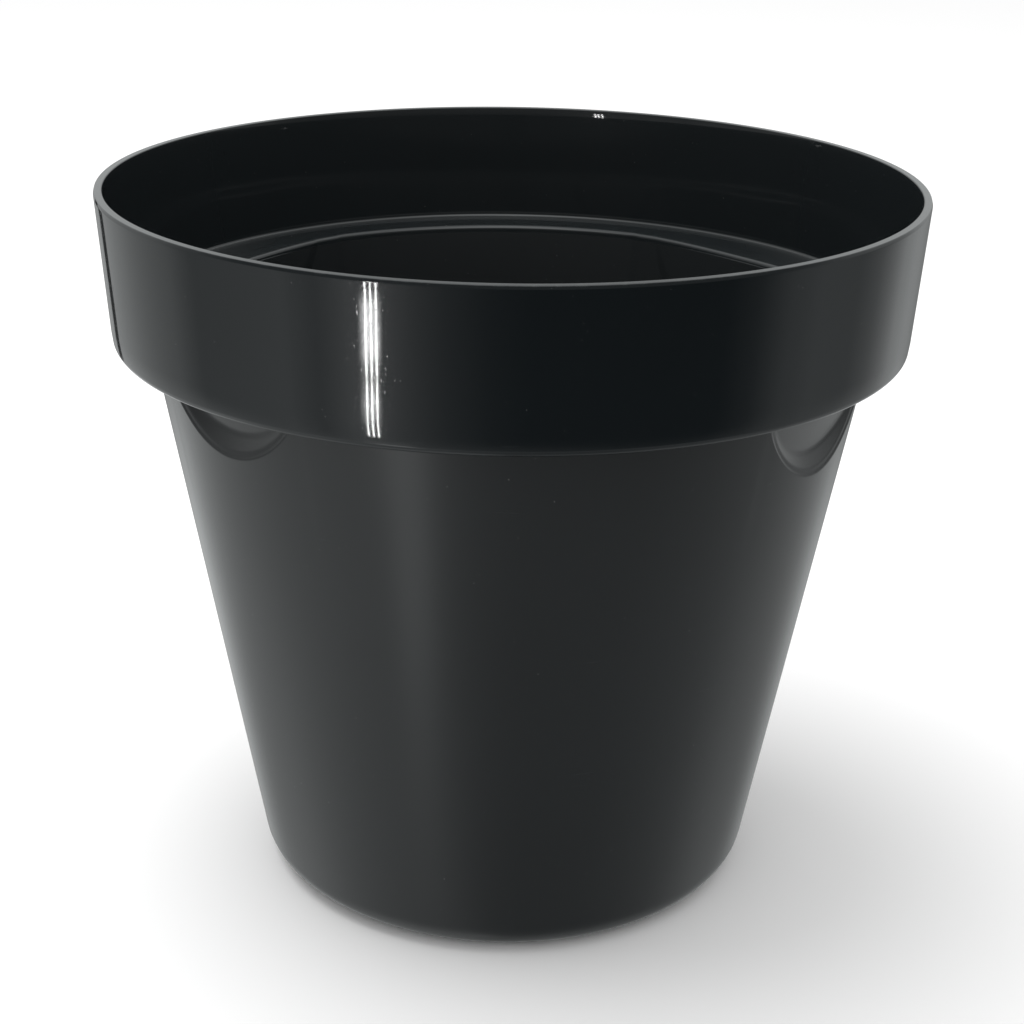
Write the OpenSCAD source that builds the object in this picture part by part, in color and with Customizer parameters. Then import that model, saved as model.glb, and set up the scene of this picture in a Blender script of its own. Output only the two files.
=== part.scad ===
// Florist bucket: a tapered one-piece bucket with a deep collar, an inner step and four finger recesses.
// Origin at the centre of the plane that it stands on, +Z up through the mouth, front towards -Y.
// Each moulded feature is a node of its own. Neighbours meet on flat horizontal planes.

/* [Bucket] */
// Overall height
height = 267.5; // [240:0.5:300]
// Outer radius of the lip at the mouth
mouth_r = 150; // [146:0.5:160]
// Outer radius of the taper where it would meet the standing plane
foot_r = 94.4; // [80:0.2:100]
// Outer radius of the body level with the collar's lower edge
shoulder_r = 132.4; // [128:0.2:134]
// Wall thickness
wall = 3.2; // [2.4:0.1:3.6]
// Outer radius of the rounded corner at the foot
corner_r = 15; // [10:0.5:18]

/* [Collar] */
// Height of the collar from its lower edge to the lip
collar_h = 55.5; // [48:0.5:62]
// Outer radius of the collar at its lower edge
collar_foot_r = 146; // [143:0.1:147]
// Height of the lip band
lip_h = 3.5; // [3:0.5:6]
// Radius of the lip's outer edge
lip_round = 1.1; // [0.6:0.1:1.4]
// Radius of the collar's lower outer edge
skirt_round = 2.6; // [1.5:0.1:2.6]
// Depth of the open gap under the collar, from the step's underside to the collar's lower edge
skirt_h = 5; // [3:0.5:8]

/* [Inner step] */
// Height of the step's top at the collar, above the collar's lower edge
step_top = 8.9; // [8.5:0.1:11]
// How far the step's top falls towards the middle
step_fall = 1.1; // [0.5:0.1:2.2]
// Radius of the fillet between the collar and the step
step_fillet = 1.5; // [0.8:0.1:2]
// Radius of the step's inner edge
step_round = 1.6; // [0.8:0.1:1.8]

/* [Finger recesses] */
// Half the angle between the two recesses at the front, and between the two at the back
grip_spread = 53; // [46:0.5:60]
// Depth of each recess at the middle of its floor
grip_depth = 4.3; // [3.5:0.1:5]
// Radius that each recess's floor is curved to, flatter than the wall round it
grip_curve_r = 400; // [200:10:500]
// Radius of each recess's round outline
grip_r = 45; // [41:0.5:48]
// How far the left recesses reach below the collar
grip_drop_left = 21; // [18:0.5:36]
// How far the right recesses reach below the collar
grip_drop_right = 32; // [18:0.5:36]

/* [Base] */
// Width of the ring that the bucket stands on
foot_ring_w = 7; // [5:0.5:12]
// How far the bottom panel is raised inside the standing ring
panel_lift = 2; // [1:0.5:3]

/* [Hidden] */
$fn = 180;

arc_steps = 8;
collar_z = height - collar_h;
lip_z = height - lip_h;
ledge_z = collar_z + skirt_h;
step_z = collar_z + step_top;
step_split_z = step_z + step_fillet + 0.5;
grip_split_z = collar_z - max(grip_drop_left, grip_drop_right) - 8;
corner_split_z = corner_r + 5;
taper = (shoulder_r - foot_r) / collar_z;
draft = (mouth_r - collar_foot_r) / collar_h;
taper_angle = atan(taper);
wall_across = wall / cos(taper_angle);
corner_in_r = corner_r - wall;
corner_c = foot_r - corner_r * (1 - sin(taper_angle)) / cos(taper_angle);
foot_ring_in = corner_c - foot_ring_w;
grip_face = shoulder_r - 4.9;

// Outer radius of the tapered body at height z.
function body_r(z) = foot_r + taper * z;
// Inner radius of the tapered body at height z.
function body_in(z) = body_r(z) - wall_across;
// Outer radius of the collar at height z.
function collar_r(z) = collar_foot_r + draft * (z - collar_z);
// Inner radius of the collar at height z.
function collar_in(z) = collar_r(z) - wall;
// Points of an arc of radius r about the centre c, from angle a to angle b.
function arc(c, r, a, b) = [for (i = [0:arc_steps])
    let (t = a + (b - a) * i / arc_steps) [c[0] + r * cos(t), c[1] + r * sin(t)]];

module plastic() {
    color([0.03, 0.034, 0.036]) children();
}

// A ring between two heights, with straight sloping sides.
module ring(z0, z1, out0, out1, in0, in1) {
    rotate_extrude() polygon([[in0, z0], [out0, z0], [out1, z1], [in1, z1]]);
}

// The drop of the recess at angle a, measured round from the front.
function grip_drop(a) = sin(a) < 0 ? grip_drop_left : grip_drop_right;
grip_angles = [-grip_spread, grip_spread, 180 - grip_spread, 180 + grip_spread];

// A tapered solid whose front lies at a constant depth inside the wall's outer face.
module grip_core(depth) {
    core_z = grip_split_z - 1;
    core_h = step_z + 1 - core_z;
    core_r = grip_curve_r + taper * (core_z - collar_z);
    translate([0, grip_curve_r - shoulder_r + depth, core_z])
        cylinder(h = core_h, r1 = core_r, r2 = core_r + taper * core_h);
}

// A round plug that points at the axis and flares outwards, down to a floor at the given depth.
module grip_plug(a, depth, widen) {
    plug_h = 35;
    plug_d = 110;
    end_r = grip_r + widen - (grip_face - plug_d);
    rotate([0, 0, a]) difference() {
        translate([0, -plug_d, collar_z - grip_drop(a) + grip_r])
            rotate([90, 0, 0])
            cylinder(h = plug_h, r1 = end_r, r2 = end_r + plug_h);
        grip_core(depth);
    }
}

// The hollows that the finger recesses leave in the outside of the wall.
module grip_hollows() {
    for (a = grip_angles) grip_plug(a, grip_depth, 0);
}

// The same recesses as they stand proud inside the bucket, a wall's thickness further in.
module grip_bosses() {
    for (a = grip_angles) grip_plug(a, grip_depth + wall_across, wall * sqrt(2));
}

module rim_lip() {
    top_out = [mouth_r - lip_round, height - lip_round];
    plastic() rotate_extrude() polygon(concat(
        [[collar_in(lip_z), lip_z], [collar_r(lip_z), lip_z]],
        arc(top_out, lip_round, 0, 90),
        [[collar_in(height), height]]));
}

module collar_wall() {
    plastic() ring(step_split_z, lip_z, collar_r(step_split_z), collar_r(lip_z),
        collar_in(step_split_z), collar_in(lip_z));
}

module step_ledge() {
    in_r = body_in(step_z - step_fall);
    in_edge = [in_r + step_round, step_z - step_fall - step_round];
    fillet_c = [collar_in(step_z) - step_fillet, step_z + step_fillet];
    plastic() union() {
        rotate_extrude() polygon(concat(
            [[body_in(ledge_z), ledge_z], [collar_r(ledge_z), ledge_z],
             [collar_r(step_split_z), step_split_z], [collar_in(step_split_z), step_split_z]],
            arc(fillet_c, step_fillet, 0, -80),
            arc(in_edge, step_round, 80, 180)));
        intersection() {
            grip_bosses();
            ring(ledge_z, step_z - step_fall, body_r(ledge_z), body_r(ledge_z), 1, 1);
        }
    }
}

module collar_skirt() {
    low_out = [collar_foot_r - skirt_round, collar_z + skirt_round];
    plastic() rotate_extrude() polygon(concat(
        [[collar_in(ledge_z), ledge_z], [collar_in(collar_z), collar_z]],
        arc(low_out, skirt_round, -90, 0),
        [[collar_r(ledge_z), ledge_z]]));
}

module grip_wall() {
    plastic() difference() {
        ring(grip_split_z, ledge_z, body_r(grip_split_z), body_r(ledge_z), 1, 1);
        grip_hollows();
        difference() {
            rotate_extrude() polygon([[0, grip_split_z - 1], [body_in(grip_split_z - 1), grip_split_z - 1],
                [body_in(ledge_z + 1), ledge_z + 1], [0, ledge_z + 1]]);
            grip_bosses();
        }
    }
}

module side_wall() {
    plastic() ring(corner_split_z, grip_split_z, body_r(corner_split_z), body_r(grip_split_z),
        body_in(corner_split_z), body_in(grip_split_z));
}

module base_corner() {
    plastic() rotate_extrude() polygon(concat(
        arc([corner_c, corner_r], corner_r, -90, -taper_angle),
        [[body_r(corner_split_z), corner_split_z], [body_in(corner_split_z), corner_split_z]],
        arc([corner_c, corner_r], corner_in_r, -taper_angle, -90),
        [[foot_ring_in, wall], [foot_ring_in, 0]]));
}

module base_panel() {
    plastic() translate([0, 0, panel_lift]) cylinder(h = wall, r = foot_ring_in);
}

rim_lip();
collar_wall();
step_ledge();
collar_skirt();
grip_wall();
side_wall();
base_corner();
base_panel();
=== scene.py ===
"""Looks of the florist bucket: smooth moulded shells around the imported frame, in metres."""

import math

import bpy
import numpy as np
from mathutils import Matrix, Vector


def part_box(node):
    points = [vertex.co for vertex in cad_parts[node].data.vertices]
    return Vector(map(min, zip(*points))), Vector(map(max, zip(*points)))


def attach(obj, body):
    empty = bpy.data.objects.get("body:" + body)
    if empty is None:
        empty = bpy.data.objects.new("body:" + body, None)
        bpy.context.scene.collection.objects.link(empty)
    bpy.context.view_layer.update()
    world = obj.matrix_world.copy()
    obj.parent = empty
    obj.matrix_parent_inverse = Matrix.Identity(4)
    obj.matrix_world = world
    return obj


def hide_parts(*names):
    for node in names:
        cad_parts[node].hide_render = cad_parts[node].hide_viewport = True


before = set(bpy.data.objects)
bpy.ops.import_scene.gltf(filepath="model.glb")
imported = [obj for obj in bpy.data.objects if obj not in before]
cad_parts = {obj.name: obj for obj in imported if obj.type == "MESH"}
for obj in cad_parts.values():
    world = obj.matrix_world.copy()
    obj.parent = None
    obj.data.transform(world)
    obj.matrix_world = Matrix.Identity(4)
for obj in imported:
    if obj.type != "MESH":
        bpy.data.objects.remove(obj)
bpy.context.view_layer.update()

MM = 0.001

# ---------------------------------------------------------------- sizes from the frame

lip_low, lip_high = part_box("rim_lip")
wall_low, wall_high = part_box("collar_wall")
skirt_low, skirt_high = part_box("collar_skirt")
panel_low, panel_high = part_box("base_panel")
side_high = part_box("side_wall")[1]
corner_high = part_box("base_corner")[1]

height = lip_high.z
mouth_r = lip_high.x
split_z = wall_low.z
ledge_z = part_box("step_ledge")[0].z
collar_z = skirt_low.z
grip_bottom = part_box("grip_wall")[0].z
draft = (wall_high.x - skirt_high.x) / (lip_low.z - ledge_z)
taper = (side_high.x - corner_high.x) / (side_high.z - corner_high.z)
taper_angle = math.atan(taper)
ring_in = panel_high.x

# ---------------------------------------------------------------- sizes of the moulding

WALL = 3.2 * MM
EDGE_ROUND = 0.3 * MM
SKIRT_ROUND = 2.6 * MM

# The foot: its outer corner, the inner edge of the standing ring and the edge of the bottom panel.
# The panel's shell is open at the axis, by PINHOLE_R.
CORNER_R = 15 * MM
FOOT_ROUND = 0.8 * MM
PANEL_ROUND = 0.5 * MM
PINHOLE_R = 0.02 * MM

# The lip: a band LIP_BAND tall, set in from the mouth's full radius, above a faint moulding line.
# The line is LINE_TALL tall and that deep at its top and bottom. The wall is plain again below LINE_END.
LIP_ROUND = 0.3 * MM
LIP_BAND = 1.0 * MM
LIP_INSET = 0.32 * MM
LINE_TALL = 0.15 * MM
LINE_TOP_IN = 0.06 * MM
LINE_LOW_IN = 0.02 * MM
LINE_END = 0.4 * MM

# The inner step: its top above the collar's lower edge, its fall towards the middle, its fillet and
# rounded edge, and the tilt in degrees of the land over each finger recess.
STEP_TOP = 8.9 * MM
STEP_FALL = 1.1 * MM
STEP_FILLET = 1.5 * MM
STEP_ROUND = 2.0 * MM
BOSS_TILT = 8

# The finger recesses: angle from the front, and how far each reaches below the collar.
GRIPS = ((-53, 21 * MM), (53, 32 * MM), (127, 32 * MM), (-127, 21 * MM))

# Each recess is a round outline of radius GRIP_R, drawn on an upright plane GRIP_BACK inside the body,
# with a floor GRIP_DEPTH deep that curves by GRIP_CURVE. It lies within GRIP_SWEEP degrees either way.
GRIP_DEPTH = 4.3 * MM
GRIP_CURVE = 400 * MM
GRIP_R = 45 * MM
GRIP_BACK = 4.9 * MM
GRIP_SWEEP = 21
GRIP_MARGIN = 3

# Depth of a recess against the distance in from its outline: a small step and a gentle slope outside,
# and a plain 45 degree flank inside. Each blend is the edge at the wall and the root at the floor.
GRIP_BORDER = (np.array((0, 0.8, 3.0, 13)) * MM, np.array((0, 0.5, 1.0, 5.8)) * MM)
GRIP_FLANK = (np.array((0, 20)) * MM, np.array((0, 20)) * MM)
OUTER_BLEND = (0.3 * MM, 0.8 * MM)
INNER_BLEND = (7 * MM, 4 * MM)
SETTLE_STEPS = 14

# Degrees between the columns of a shell, at the recesses and elsewhere.
FINE_TURN = 0.2
COARSE_TURN = 0.8

wall_across = WALL / math.cos(taper_angle)


def body_r(z):
    """Outer radius of the tapered body at height z."""
    return corner_high.x + taper * (z - corner_high.z)


def body_in(z):
    """Inner radius of the tapered body at height z."""
    return body_r(z) - wall_across


def collar_r(z):
    """Outer radius of the collar at height z."""
    return skirt_high.x + draft * (z - ledge_z)


def collar_in(z):
    """Inner radius of the collar at height z."""
    return collar_r(z) - WALL


grip_face = body_r(collar_z) - GRIP_BACK
corner_c = body_r(0) - CORNER_R * (1 - math.sin(taper_angle)) / math.cos(taper_angle)


# ---------------------------------------------------------------- shells

def soft_min(a, b, k):
    """The smaller of a and b, blended over k."""
    h = np.clip(0.5 + 0.5 * (b - a) / k, 0, 1)
    return b * (1 - h) + a * h - k * h * (1 - h)


def soft_max(a, b, k):
    """The larger of a and b, blended over k."""
    return -soft_min(-a, -b, k)


def turn_angles():
    """Angles round the bucket, close together where the finger recesses are."""
    angles = [0.0]
    while angles[-1] < 360:
        near = any(abs((angles[-1] - a + 180) % 360 - 180) < GRIP_SWEEP for a, _ in GRIPS)
        angles.append(angles[-1] + (FINE_TURN if near else COARSE_TURN))
    return np.radians(np.array(angles[:-1]) - 180)


TURN = turn_angles()


def recessed(z, cone_r, depth, outline_r, border, blend):
    """Radius at height z, at every angle of TURN, of a cone with the finger recesses pressed into it.

    The recess's surface depends on its own radius, so the radius is settled in a few steps.
    """
    edge, root = blend
    floor_r = GRIP_CURVE + taper * (z - collar_z)
    floor_y = floor_r - body_r(z) + depth
    r = np.full(len(TURN), cone_r)
    for angle, drop in GRIPS:
        off = (TURN - math.radians(angle) + math.pi) % (2 * math.pi) - math.pi
        near = np.abs(off) < math.radians(GRIP_SWEEP + GRIP_MARGIN)
        turn = off[near]
        rise = z - (collar_z - drop + GRIP_R)
        radius = np.full(len(turn), cone_r)
        for _ in range(SETTLE_STEPS):
            side = radius * np.sin(turn)
            cone_x = np.sqrt(cone_r ** 2 - side ** 2)
            floor_x = np.sqrt(floor_r ** 2 - side ** 2) - floor_y
            inwards = outline_r - grip_face + cone_x - np.hypot(side, rise)
            pressed = soft_max(floor_x, cone_x - np.interp(inwards, *border), root)
            radius = soft_min(cone_x, pressed, edge) / np.cos(turn)
        r[near] = radius
    return r


def outside(z):
    """Radius of the body's outside at height z."""
    return recessed(z, body_r(z), GRIP_DEPTH, GRIP_R, GRIP_BORDER, OUTER_BLEND)


def inside(z):
    """Radius of the body's inside at height z."""
    outline_r = GRIP_R + WALL * math.sqrt(2)
    return recessed(z, body_in(z), GRIP_DEPTH + wall_across, outline_r, GRIP_FLANK, INNER_BLEND)


def arc(centre, r, start, end, steps):
    """Points of an arc about the centre, from one angle in degrees to another."""
    angles = np.radians(np.linspace(start, end, steps + 1))
    return [(centre[0] + r * math.cos(a), centre[1] + r * math.sin(a)) for a in angles]


def line(start, end, steps):
    """Points along a straight line, without its first and last."""
    a, b = np.array(start), np.array(end)
    return [tuple(a + (b - a) * i / steps) for i in range(1, steps)]


def revolve(name, rows, sharp=()):
    """A closed shell of section rows, each a radius, or one at every angle of TURN, and a height.

    The rows numbered in sharp keep a crisp edge.
    """
    turns = len(TURN)
    count = len(rows)
    points = np.empty((count, turns, 3))
    for i, (radius, z) in enumerate(rows):
        points[i, :, 0] = radius * np.sin(TURN)
        points[i, :, 1] = -radius * np.cos(TURN)
        points[i, :, 2] = z
    row = np.arange(count)[:, None]
    col = np.arange(turns)[None, :]
    here, after = row * turns, (row + 1) % count * turns
    beside = (col + 1) % turns
    faces = np.stack([here + col, here + beside, after + beside, after + col], -1)
    mesh = bpy.data.meshes.new(name)
    mesh.vertices.add(count * turns)
    mesh.vertices.foreach_set("co", points.reshape(-1))
    mesh.loops.add(count * turns * 4)
    mesh.loops.foreach_set("vertex_index", faces.reshape(-1).astype(np.int32))
    mesh.polygons.add(count * turns)
    mesh.polygons.foreach_set("loop_start", np.arange(0, count * turns * 4, 4, dtype=np.int32))
    mesh.update(calc_edges=True)
    mesh.polygons.foreach_set("use_smooth", np.ones(count * turns, bool))
    ends = np.empty(len(mesh.edges) * 2, np.int32)
    mesh.edges.foreach_get("vertices", ends)
    ends = ends.reshape(-1, 2) // turns
    crisp = (ends[:, 0] == ends[:, 1]) & np.isin(ends[:, 0], [s % count for s in sharp])
    mark = mesh.attributes.new("sharp_edge", "BOOLEAN", "EDGE")
    mark.data.foreach_set("value", crisp)
    mesh.update()
    piece = bpy.data.objects.new(name, mesh)
    bpy.context.scene.collection.objects.link(piece)
    return piece


def make_collar():
    """The deep collar: lip, wall and the skirt that hangs below the inner step."""
    mid = WALL / 2
    rows = [(collar_r(split_z) - mid, split_z), (collar_in(split_z), split_z)]
    sharp = [0, 1]
    rows += line((collar_in(split_z), split_z), (collar_in(height - EDGE_ROUND), height - EDGE_ROUND), 12)
    rows += arc((collar_in(height) + EDGE_ROUND, height - EDGE_ROUND), EDGE_ROUND, 180, 90, 4)
    band_r = mouth_r - LIP_INSET
    rows += line((collar_in(height) + EDGE_ROUND, height), (band_r - LIP_ROUND, height), 6)
    rows += arc((band_r - LIP_ROUND, height - LIP_ROUND), LIP_ROUND, 90, 12, 6)
    band_z = height - LIP_BAND
    line_top = (collar_r(band_z) - LINE_TOP_IN, band_z)
    rows += line(rows[-1], line_top, 3)
    rows += [line_top, (collar_r(band_z) - LINE_LOW_IN, band_z - LINE_TALL)]
    low = (collar_r(collar_z) - SKIRT_ROUND, collar_z + SKIRT_ROUND)
    below = band_z - LINE_END
    rows += [(collar_r(below), below)] + line((collar_r(below), below), (collar_r(low[1]), low[1]), 16)
    rows += arc(low, SKIRT_ROUND, -4, -90, 12)
    rows += arc((collar_in(collar_z) + EDGE_ROUND, collar_z + EDGE_ROUND), EDGE_ROUND, -90, -180, 4)
    rows += [(collar_in(ledge_z), ledge_z)]
    sharp += [len(rows) - 1]
    rows += [(collar_r(ledge_z) - mid, ledge_z)]
    sharp += [len(rows) - 1]
    return revolve("collar", rows, sharp)


def make_step():
    """The inner step, with a fillet at the collar and a rounded edge that follows the recesses."""
    mid = WALL / 2
    top = collar_z + STEP_TOP
    fillet = (collar_in(top) - STEP_FILLET, top + STEP_FILLET)
    low = top - STEP_FALL
    rows = [(collar_r(ledge_z) - mid, ledge_z), (collar_r(split_z) - mid, split_z)]
    rows += [(collar_in(split_z), split_z)]
    sharp = [0, 1, 2]
    rows += arc(fillet, STEP_FILLET, 0, -82, 8)
    centre_r, centre_z = body_in(low - STEP_ROUND) + STEP_ROUND, low - STEP_ROUND
    boss = body_in(low - STEP_ROUND) - inside(low - STEP_ROUND)
    tilt = math.radians(BOSS_TILT)
    rows += line(rows[-1], (centre_r, low), 8)
    for a in np.linspace(0, tilt, 4):
        rows.append((centre_r - STEP_ROUND * math.sin(a), centre_z + STEP_ROUND * math.cos(a)))
    for _ in range(3):
        rows.append((rows[-1][0] - boss / 4, rows[-1][1] - boss / 4 * math.tan(tilt)))
    centre_r = centre_r - boss
    centre_z = centre_z - boss * math.tan(tilt)
    for a in np.linspace(tilt, math.pi / 2, 9):
        rows.append((centre_r - STEP_ROUND * math.sin(a), centre_z + STEP_ROUND * math.cos(a)))
    rows += [(inside(ledge_z), ledge_z)]
    sharp += [len(rows) - 1]
    rows += [(body_r(ledge_z) - mid, ledge_z)]
    return revolve("inner_step", rows, sharp)


def make_body():
    """The tapered body: recessed upper wall, side wall, base corner and standing ring."""
    rows = [(outside(z), z) for z in np.linspace(ledge_z, grip_bottom, 101)]
    sharp = [0]
    rows += line((body_r(grip_bottom), grip_bottom), (body_r(CORNER_R), CORNER_R), 14)
    rows += arc((corner_c, CORNER_R), CORNER_R, -math.degrees(taper_angle), -90, 16)
    rows += line((corner_c, 0), (ring_in + FOOT_ROUND, 0), 3)
    rows += arc((ring_in + FOOT_ROUND, FOOT_ROUND), FOOT_ROUND, -90, -180, 5)
    rows += [(ring_in, WALL)]
    sharp += [len(rows) - 1]
    rows += line((ring_in, WALL), (corner_c, WALL), 3)
    rows += arc((corner_c, CORNER_R), CORNER_R - WALL, -90, -math.degrees(taper_angle), 14)
    rows += line((body_in(CORNER_R), CORNER_R), (body_in(grip_bottom), grip_bottom), 10)
    rows += [(inside(z), z) for z in np.linspace(grip_bottom, ledge_z, 40)]
    sharp += [len(rows) - 1]
    return revolve("body", rows, sharp)


def make_panel():
    """The raised bottom panel inside the standing ring."""
    low, high = panel_low.z, panel_high.z
    flat_r = ring_in - PANEL_ROUND
    rows = [(PINHOLE_R, low)] + line((0, low), (ring_in, low), 8) + [(ring_in, low)]
    sharp = [len(rows) - 1]
    rows += [(ring_in, high - PANEL_ROUND)]
    rows += arc((flat_r, high - PANEL_ROUND), PANEL_ROUND, 0, 90, 4)[1:]
    rows += line((flat_r, high), (0, high), 8) + [(PINHOLE_R, high)]
    return revolve("base_panel_skin", rows, sharp)


# ---------------------------------------------------------------- node helpers

class Nodes:
    """Short calls that add shader nodes to one tree."""

    def __init__(self, tree):
        self.tree = tree

    def add(self, kind, **settings):
        node = self.tree.nodes.new(kind)
        for key, value in settings.items():
            setattr(node, key, value)
        return node

    def put(self, socket, value):
        """A link where value is a socket, and a plain value otherwise."""
        if isinstance(value, bpy.types.NodeSocket):
            self.tree.links.new(value, socket)
        else:
            socket.default_value = value

    def math(self, operation, *values):
        node = self.add("ShaderNodeMath", operation=operation)
        for socket, value in zip(node.inputs, values):
            self.put(socket, value)
        return node.outputs[0]

    def smooth(self, value, start, end, low=0.0, high=1.0):
        """low up to start, high from end, and a smooth rise between."""
        node = self.add("ShaderNodeMapRange", interpolation_type="SMOOTHSTEP")
        for socket, v in zip(node.inputs, (value, start, end, low, high)):
            self.put(socket, v)
        return node.outputs[0]

    def window(self, value, start, end, soft):
        """1 between start and end, 0 outside, with soft edges."""
        rise = self.smooth(value, start - soft / 2, start + soft / 2)
        fall = self.smooth(value, end - soft / 2, end + soft / 2, 1.0, 0.0)
        return self.math("MULTIPLY", rise, fall)

    def ramp(self, value, stops):
        """A grey ramp through (position, level) stops."""
        node = self.add("ShaderNodeValToRGB")
        points = node.color_ramp.elements
        while len(points) < len(stops):
            points.new(0.5)
        for point, (position, level) in zip(points, stops):
            point.position = position
            point.color = (level, level, level, 1)
        self.put(node.inputs[0], value)
        return node.outputs[0]

    def mixed(self, a, b, share):
        """a at share 0, b at share 1, for numbers."""
        node = self.add("ShaderNodeMix")
        self.put(node.inputs["Factor"], share)
        self.put(node.inputs["A"], a)
        self.put(node.inputs["B"], b)
        return node.outputs[0]

    def noise(self, vector, scale, detail=2.0, roughness=0.5):
        node = self.add("ShaderNodeTexNoise")
        self.put(node.inputs["Vector"], vector)
        node.inputs["Scale"].default_value = scale
        node.inputs["Detail"].default_value = detail
        node.inputs["Roughness"].default_value = roughness
        return node.outputs[0]

    def scaled(self, vector, sizes):
        node = self.add("ShaderNodeMapping")
        self.put(node.inputs["Vector"], vector)
        node.inputs["Scale"].default_value = sizes
        return node.outputs[0]

    def around(self, vector):
        """The angle from the front in degrees, and the three parts of a vector."""
        split = self.add("ShaderNodeSeparateXYZ")
        self.put(split.inputs[0], vector)
        x, y, z = split.outputs
        turn = self.math("ARCTAN2", x, self.math("MULTIPLY", y, -1.0))
        return self.math("MULTIPLY", turn, 180 / math.pi), x, y, z


# ---------------------------------------------------------------- materials

# Metres round the bucket for each degree, which unrolls its surface for the marks.
GIRTH_PER_DEGREE = 2.3 * MM
# Softness of the paler film on inward-facing sides, which is partly dust and partly painted light.
DUST_FILM_AND_PAINTED_LIGHT_SOFTNESS = 20 * MM
COAT_ROUGHNESS = 0.32
PLASTIC_IOR = 1.5


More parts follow.
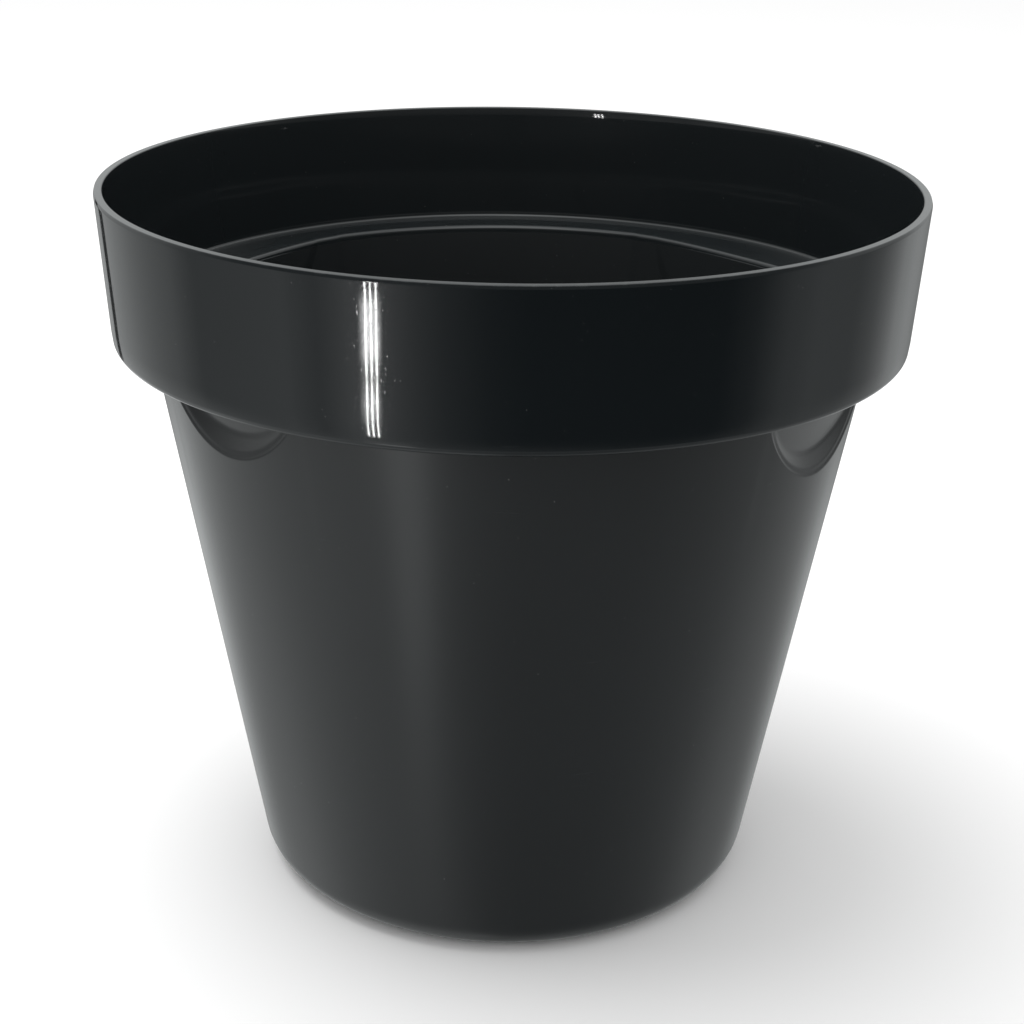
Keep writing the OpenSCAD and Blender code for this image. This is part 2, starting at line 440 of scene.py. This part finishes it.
def moulded_plastic(name, roughness, grain, tint, haze):
    """Black moulded plastic: faint waviness, handling scratches, dust, a worn lip and foot, and painted
    light that makes the inward-facing sides paler.

    grain is the scale of the fine texture, and haze the weight of a rougher coat.
    """
    material = bpy.data.materials.new(name)
    material.use_nodes = True
    tree = material.node_tree
    n = Nodes(tree)
    shader = tree.nodes["Principled BSDF"]
    place = n.add("ShaderNodeTexCoord").outputs["Object"]
    turn, x, y, z = n.around(place)
    unrolled = n.add("ShaderNodeCombineXYZ")
    n.put(unrolled.inputs[0], n.math("MULTIPLY", turn, GIRTH_PER_DEGREE))
    n.put(unrolled.inputs[1], z)
    flat = unrolled.outputs[0]

    # Slow changes of tone, fine scratches both ways in patches, and specks of dust.
    cloud = n.noise(place, 9.0, 3.0)
    mottle = n.noise(place, 60.0, 2.0)
    ripple = n.noise(n.scaled(flat, (1.0, 0.12, 1.0)), 55.0, 3.0)
    across = n.noise(n.scaled(flat, (30.0, 1600.0, 1.0)), 1.0, 3.0, 0.6)
    upright = n.noise(n.scaled(flat, (1900.0, 26.0, 1.0)), 1.0, 3.0, 0.6)
    patches = n.smooth(n.noise(place, 22.0, 2.0), 0.52, 0.72)
    scratch_a = n.math("MULTIPLY", n.smooth(across, 0.70, 0.76), patches)
    scratch_b = n.math("MULTIPLY", n.smooth(upright, 0.71, 0.77), patches)
    scratches = n.math("MAXIMUM", scratch_a, scratch_b)
    dust = n.smooth(n.noise(place, 1100.0, 1.0), 0.80, 0.83)

    # A thin film of dust on what faces the inside, which is also painted light that makes the inside paler,
    # and wear on the lip and the foot.
    facing = n.add("ShaderNodeSeparateXYZ")
    n.put(facing.inputs[0], n.add("ShaderNodeNewGeometry").outputs["Normal"])
    outward_x = n.math("MULTIPLY", facing.outputs[0], x)
    outward = n.math("ADD", outward_x, n.math("MULTIPLY", facing.outputs[1], y))
    dust_film_and_painted_light = n.smooth(outward, -DUST_FILM_AND_PAINTED_LIGHT_SOFTNESS, DUST_FILM_AND_PAINTED_LIGHT_SOFTNESS, 0.035, 0.0)
    lip_wear = n.smooth(z, height - 0.6 * MM, height - 0.1 * MM)
    foot_wear = n.smooth(z, 0.5 * MM, 4 * MM, 1.0, 0.0)
    worn_spots = n.smooth(n.noise(place, 260.0, 3.0), 0.45, 0.7)
    wear = n.math("MULTIPLY", n.math("MAXIMUM", lip_wear, foot_wear), worn_spots)

    colour = n.add("ShaderNodeMix", data_type="RGBA")
    n.put(colour.inputs["Factor"], cloud)
    colour.inputs["A"].default_value = (tint[0] * 0.8, tint[1] * 0.8, tint[2] * 0.8, 1)
    colour.inputs["B"].default_value = (tint[0] * 1.25, tint[1] * 1.25, tint[2] * 1.25, 1)
    # Wear, scratches and the inside's film mix towards pale grey. The film's share is painted light that
    # makes the inside paler, as well as dust.
    marks_and_painted_light = n.add("ShaderNodeMix", data_type="RGBA")
    marks = n.math("MAXIMUM", n.math("MULTIPLY", wear, 0.06), n.math("MULTIPLY", scratches, 0.05))
    n.put(marks_and_painted_light.inputs["Factor"], n.math("MAXIMUM", marks, dust_film_and_painted_light))
    n.put(marks_and_painted_light.inputs["A"], colour.outputs["Result"])
    marks_and_painted_light.inputs["B"].default_value = (0.16, 0.17, 0.17, 1)
    dusty = n.add("ShaderNodeMix", data_type="RGBA")
    n.put(dusty.inputs["Factor"], n.math("MULTIPLY", dust, 0.22))
    n.put(dusty.inputs["A"], marks_and_painted_light.outputs["Result"])
    dusty.inputs["B"].default_value = (0.3, 0.3, 0.29, 1)
    n.put(shader.inputs["Base Color"], dusty.outputs["Result"])

    rough = n.math("MULTIPLY_ADD", cloud, 0.02, roughness - 0.010)
    rough = n.math("MULTIPLY_ADD", mottle, 0.01, rough)
    rough = n.math("MULTIPLY_ADD", scratches, 0.10, rough)
    rough = n.math("MULTIPLY_ADD", wear, 0.10, rough)
    rough = n.math("MULTIPLY_ADD", dust, 0.3, rough)
    n.put(shader.inputs["Roughness"], rough)

    # The relief: two waves of the moulding, its grain, the scratches and small pits.
    relief = n.math("MULTIPLY", n.noise(place, 28.0, 2.0), 0.020 * MM)
    relief = n.math("MULTIPLY_ADD", ripple, 0.012 * MM, relief)
    relief = n.math("MULTIPLY_ADD", n.noise(place, grain, 2.0), 0.0008 * MM, relief)
    relief = n.math("MULTIPLY_ADD", scratches, -0.006 * MM, relief)
    pits = n.smooth(n.noise(place, 850.0, 1.0), 0.66, 0.76)
    relief = n.math("MULTIPLY_ADD", pits, -0.006 * MM, relief)
    bump = n.add("ShaderNodeBump")
    bump.inputs["Strength"].default_value = 1.0
    bump.inputs["Distance"].default_value = 1.0
    n.put(bump.inputs["Height"], relief)
    n.put(shader.inputs["Normal"], bump.outputs[0])
    shader.inputs["IOR"].default_value = PLASTIC_IOR
    shader.inputs["Coat Weight"].default_value = haze
    shader.inputs["Coat Roughness"].default_value = COAT_ROUGHNESS
    shader.inputs["Coat IOR"].default_value = PLASTIC_IOR
    return material


# ---------------------------------------------------------------- pieces

collar_black = moulded_plastic(
    "collar_black", roughness=0.038, grain=1400.0, tint=(0.0034, 0.0052, 0.0062), haze=0.14)
body_black = moulded_plastic(
    "body_black", roughness=0.23, grain=2200.0, tint=(0.0065, 0.0080, 0.0088), haze=0.0)

collar = make_collar()
step = make_step()
body = make_body()
panel = make_panel()
for piece, nodes, slot, material in (
    (collar, ("rim_lip", "collar_wall", "collar_skirt"), "collar_plastic", collar_black),
    (step, ("step_ledge",), "collar_plastic", collar_black),
    (body, ("grip_wall", "side_wall", "base_corner"), "body_plastic", body_black),
    (panel, ("base_panel",), "body_plastic", body_black),
):
    piece.data.materials.append(material)
    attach(piece, "root")
    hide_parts(*nodes)


# ---------------------------------------------------------------- stage

# The stage is turned by FRONT degrees, so that the camera looks from a little left of the front.
FRONT = -5
FLOOR_SIZE = 40
DOME_R = 40


def make_floor():
    """The plain pale floor. The plastic reflects the studio dome instead of it."""
    half = FLOOR_SIZE / 2
    corners = [(-half, -half, 0), (half, -half, 0), (half, half, 0), (-half, half, 0)]
    mesh = bpy.data.meshes.new("floor")
    mesh.from_pydata(corners, [], [(0, 1, 2, 3)])
    floor = bpy.data.objects.new("floor", mesh)
    bpy.context.scene.collection.objects.link(floor)
    material = bpy.data.materials.new("floor")
    material.use_nodes = True
    shader = material.node_tree.nodes["Principled BSDF"]
    shader.inputs["Base Color"].default_value = (0.88, 0.88, 0.88, 1)
    shader.inputs["Roughness"].default_value = 1.0
    shader.inputs["Specular IOR Level"].default_value = 0.0
    mesh.materials.append(material)
    floor.visible_glossy = False


def only_reflected(made):
    """A stage object that shows in the gloss of the plastic and nowhere else."""
    for flag in ("camera", "diffuse", "transmission", "volume_scatter", "shadow"):
        setattr(made, "visible_" + flag, False)


def spread(stops):
    """Ramp stops from (angle from the front, level) pairs."""
    return [((angle + 180) / 360, level) for angle, level in stops]


def make_dome():
    """The studio in the plastic's gloss: pale paper to the sides, a dim room in front, a bright ceiling."""
    bpy.ops.mesh.primitive_uv_sphere_add(radius=DOME_R, segments=96, ring_count=48)
    dome = bpy.context.object
    dome.name = "studio_dome"
    dome.rotation_euler.z = math.radians(FRONT)
    only_reflected(dome)
    material = bpy.data.materials.new("studio_dome")
    material.use_nodes = True
    tree = material.node_tree
    tree.nodes.clear()
    n = Nodes(tree)
    turn, _, _, z = n.around(n.add("ShaderNodeTexCoord").outputs["Object"])
    rise = n.math("MULTIPLY", n.math("ARCSINE", n.math("DIVIDE", z, DOME_R)), 180 / math.pi)
    share = n.math("MULTIPLY_ADD", turn, 1 / 360, 0.5)
    sideways = n.math("ABSOLUTE", turn)

    # Below about -34 degrees is the paper near the bucket. Above it is the room further off.
    near = n.ramp(share, spread((
        (-180, 0.50), (-165, 0.72), (-152, 0.98), (-135, 0.86), (-110, 0.84), (-60, 0.75), (-30, 0.68),
        (-12, 0.44), (5, 0.35), (45, 0.34), (85, 0.42), (115, 0.58), (135, 0.60), (150, 0.70),
        (180, 0.50))))
    far = n.ramp(share, spread((
        (-180, 0.16), (-165, 0.28), (-156, 0.43), (-133, 0.53), (-106, 0.55), (-95, 0.34), (-80, 0.47),
        (-64, 0.60), (-54, 0.36), (-44, 0.54), (-27, 0.34), (-17, 0.18), (-6, 0.07), (5, 0.03), (60, 0.03),
        (70, 0.12), (81, 0.36), (92, 0.42), (108, 0.28), (118, 0.34), (134, 0.62), (144, 0.52), (159, 0.22),
        (180, 0.16))))
    lifted = n.math("SUBTRACT", rise, n.smooth(sideways, 30.0, 150.0, 0.0, 13.0))
    level = n.mixed(near, far, n.smooth(lifted, -38.0, -30.0))
    level = n.math("MULTIPLY", level, n.smooth(rise, -54.0, -40.0, 0.72, 1.0))

    # Behind the bucket the room is dimmer low down and brighter higher up.
    behind = n.smooth(sideways, 100.0, 140.0)
    low_behind = n.math("MULTIPLY", behind, n.smooth(rise, -37.0, -24.0, -0.35, 0.10))
    level = n.math("MULTIPLY", level, n.math("ADD", low_behind, 1.0))

    # A pale patch at the left front, and one dark upright seam at the left rear.
    patch = n.math("MULTIPLY", n.window(turn, -42.0, -29.0, 8.0), n.window(rise, -44.0, -34.0, 6.0))
    level = n.math("MULTIPLY_ADD", patch, 1.1, level)
    seam = n.math("MULTIPLY", n.window(turn, -153.0, -148.0, 1.0), n.smooth(rise, -21.0, -18.0))
    level = n.math("MULTIPLY", level, n.math("MULTIPLY_ADD", seam, -0.95, 1.0))

    # The ceiling. Low down it is dim in front and right behind, and high up it is brightest in front.
    low_sky = n.smooth(sideways, 70.0, 120.0, 0.20, 0.85)
    low_sky = n.math("MULTIPLY", low_sky, n.smooth(sideways, 167.0, 177.0, 1.0, 0.56))
    high_sky = n.smooth(sideways, 15.0, 75.0, 2.2, 1.2)
    sky = n.mixed(low_sky, high_sky, n.smooth(rise, 30.0, 50.0))
    level = n.mixed(level, sky, n.smooth(rise, -6.0, 8.0))
    emission = n.add("ShaderNodeEmission")
    n.put(emission.inputs["Strength"], level)
    emission.inputs["Color"].default_value = (0.97, 1.0, 1.0, 1)
    output = n.add("ShaderNodeOutputMaterial")
    tree.links.new(emission.outputs[0], output.inputs["Surface"])
    material.cycles.emission_sampling = "NONE"
    dome.data.materials.append(material)


# Three slim upright lamps at the left front, LAMP_OUT from the bucket's axis. They lean sideways by
# LAMP_LEAN for each unit up, and the middle one is straight out at LAMP_TURN at the height LAMP_LEVEL.
LAMP_TURN = math.radians(FRONT - 31)
LAMP_OUT = 0.50
LAMP_GAP = 11 * MM
LAMP_WIDE = 1.6 * MM
LAMP_TALL = 0.30
LAMP_LEAN = 0.1
LAMP_LEVEL = 0.157
LAMP_STRENGTH = 90.0

# The faint glow is a wider strip a little behind them and to one side.
GLOW_BEHIND = 0.02
GLOW_ASIDE = -4 * MM
GLOW_WIDE = 60 * MM
GLOW_CORE = 8 * MM
GLOW_REACH = 28 * MM
GLOW_STRENGTH = 15.0


def lamp_strength(n, _across, up):
    """An uneven brightness along the lamp."""
    along = n.add("ShaderNodeCombineXYZ")
    n.put(along.inputs[0], up)
    flicker = n.smooth(n.noise(along.outputs[0], 160.0, 2.0), 0.35, 0.65, 0.35, 1.5)
    return n.math("MULTIPLY", flicker, LAMP_STRENGTH)


def glow_strength(n, across, up):
    """A brushed and grainy glow that fades sideways, bright high up and weaker low down."""
    place = n.add("ShaderNodeCombineXYZ")
    n.put(place.inputs[0], across)
    n.put(place.inputs[1], up)
    fade = n.smooth(n.math("ABSOLUTE", across), GLOW_CORE, GLOW_REACH, 1.0, 0.0)
    upper = n.window(up, 0.066, 0.100, 0.010)
    lower = n.math("MULTIPLY", n.window(up, 0.034, 0.049, 0.008), 0.5)
    rest = n.math("MULTIPLY", n.window(up, 0.026, 0.107, 0.008), 0.18)
    shape = n.math("MAXIMUM", n.math("MAXIMUM", upper, lower), rest)
    grain = n.smooth(n.noise(place.outputs[0], 420.0, 3.0, 0.7), 0.35, 0.75, 0.2, 2.2)
    brushed = n.scaled(place.outputs[0], (1.0, 0.1, 1.0))
    brush = n.smooth(n.noise(brushed, 300.0, 2.0), 0.3, 0.7, 0.4, 1.6)
    texture = n.math("MULTIPLY", grain, brush)
    return n.math("MULTIPLY", n.math("MULTIPLY", fade, shape), n.math("MULTIPLY", texture, GLOW_STRENGTH))


def make_strip(name, aside, width, behind, strength):
    """A leaning strip that faces the bucket. strength(nodes, across, up) gives its emission."""
    along = Vector((math.cos(LAMP_TURN), math.sin(LAMP_TURN), 0))
    out = LAMP_OUT + behind
    centre = Vector((out * math.sin(LAMP_TURN), -out * math.cos(LAMP_TURN), 0))
    foot = centre + along * (aside - LAMP_LEAN * LAMP_LEVEL)
    rise = Vector((0, 0, LAMP_TALL)) + along * LAMP_LEAN * LAMP_TALL
    side = along * width / 2
    mesh = bpy.data.meshes.new(name)
    mesh.from_pydata([foot - side, foot + side, foot + side + rise, foot - side + rise], [], [(0, 1, 2, 3)])
    layer = mesh.uv_layers.new(name="strip")
    for corner, place in enumerate(((-0.5, 0), (0.5, 0), (0.5, 1), (-0.5, 1))):
        layer.data[corner].uv = place
    material = bpy.data.materials.new(name)
    material.use_nodes = True
    tree = material.node_tree
    tree.nodes.clear()
    n = Nodes(tree)
    split = n.add("ShaderNodeSeparateXYZ")
    n.put(split.inputs[0], n.add("ShaderNodeTexCoord").outputs["UV"])
    across = n.math("MULTIPLY", split.outputs[0], width)
    up = n.math("MULTIPLY", split.outputs[1], LAMP_TALL)
    emission = n.add("ShaderNodeEmission")
    n.put(emission.inputs["Strength"], strength(n, across, up))
    both = n.add("ShaderNodeAddShader")
    tree.links.new(emission.outputs[0], both.inputs[0])
    tree.links.new(n.add("ShaderNodeBsdfTransparent").outputs[0], both.inputs[1])
    output = n.add("ShaderNodeOutputMaterial")
    tree.links.new(both.outputs[0], output.inputs["Surface"])
    mesh.materials.append(material)
    lamp = bpy.data.objects.new(name, mesh)
    bpy.context.scene.collection.objects.link(lamp)
    only_reflected(lamp)


def make_slim_lamps():
    """The three lamps and the faint glow round them, seen only in the gloss."""
    for i in (-1, 0, 1):
        make_strip(f"slim_lamp_{i + 2}", LAMP_GAP * i, LAMP_WIDE, 0, lamp_strength)
    make_strip("lamp_glow", GLOW_ASIDE, GLOW_WIDE, GLOW_BEHIND, glow_strength)


def make_light():
    """Soft even light from all round, and one broad overhead light for a gentle shadow."""
    world = bpy.data.worlds.new("studio")
    bpy.context.scene.world = world
    world.use_nodes = True
    world.node_tree.nodes["Background"].inputs["Color"].default_value = (1, 1, 1, 1)
    world.node_tree.nodes["Background"].inputs["Strength"].default_value = 1.05
    world.cycles_visibility.glossy = False
    lamp = bpy.data.lights.new("overhead", "AREA")
    lamp.shape = "DISK"
    lamp.size = 1.6
    lamp.energy = 22
    made = bpy.data.objects.new("overhead", lamp)
    made.location = (-0.5, 0.2, 1.9)
    made.rotation_euler = (Vector((0, 0, 0.1)) - made.location).to_track_quat("-Z", "Y").to_euler()
    made.visible_glossy = False
    made.visible_camera = False
    bpy.context.scene.collection.objects.link(made)


def make_camera():
    """The camera, at the photograph's angle: out in front, above the mouth and looking down."""
    out, up = 0.72715, 0.42105
    look_down, look_left, lean = 21.284, 0.1125, 0.9125
    camera = bpy.data.objects.new("camera", bpy.data.cameras.new("camera"))
    camera.data.sensor_width = 36
    camera.data.lens = 70.98
    front = math.radians(FRONT)
    place = Matrix.Translation((out * math.sin(front), -out * math.cos(front), up))
    aim = Matrix.Rotation(math.radians(FRONT - look_left), 4, "Z")
    aim = aim @ Matrix.Rotation(math.radians(90 - look_down), 4, "X")
    aim = aim @ Matrix.Rotation(math.radians(lean), 4, "Z")
    camera.matrix_world = place @ aim
    bpy.context.scene.collection.objects.link(camera)
    bpy.context.scene.camera = camera


make_floor()
make_dome()
make_slim_lamps()
make_light()
make_camera()
bpy.context.scene.view_settings.view_transform = "Standard"
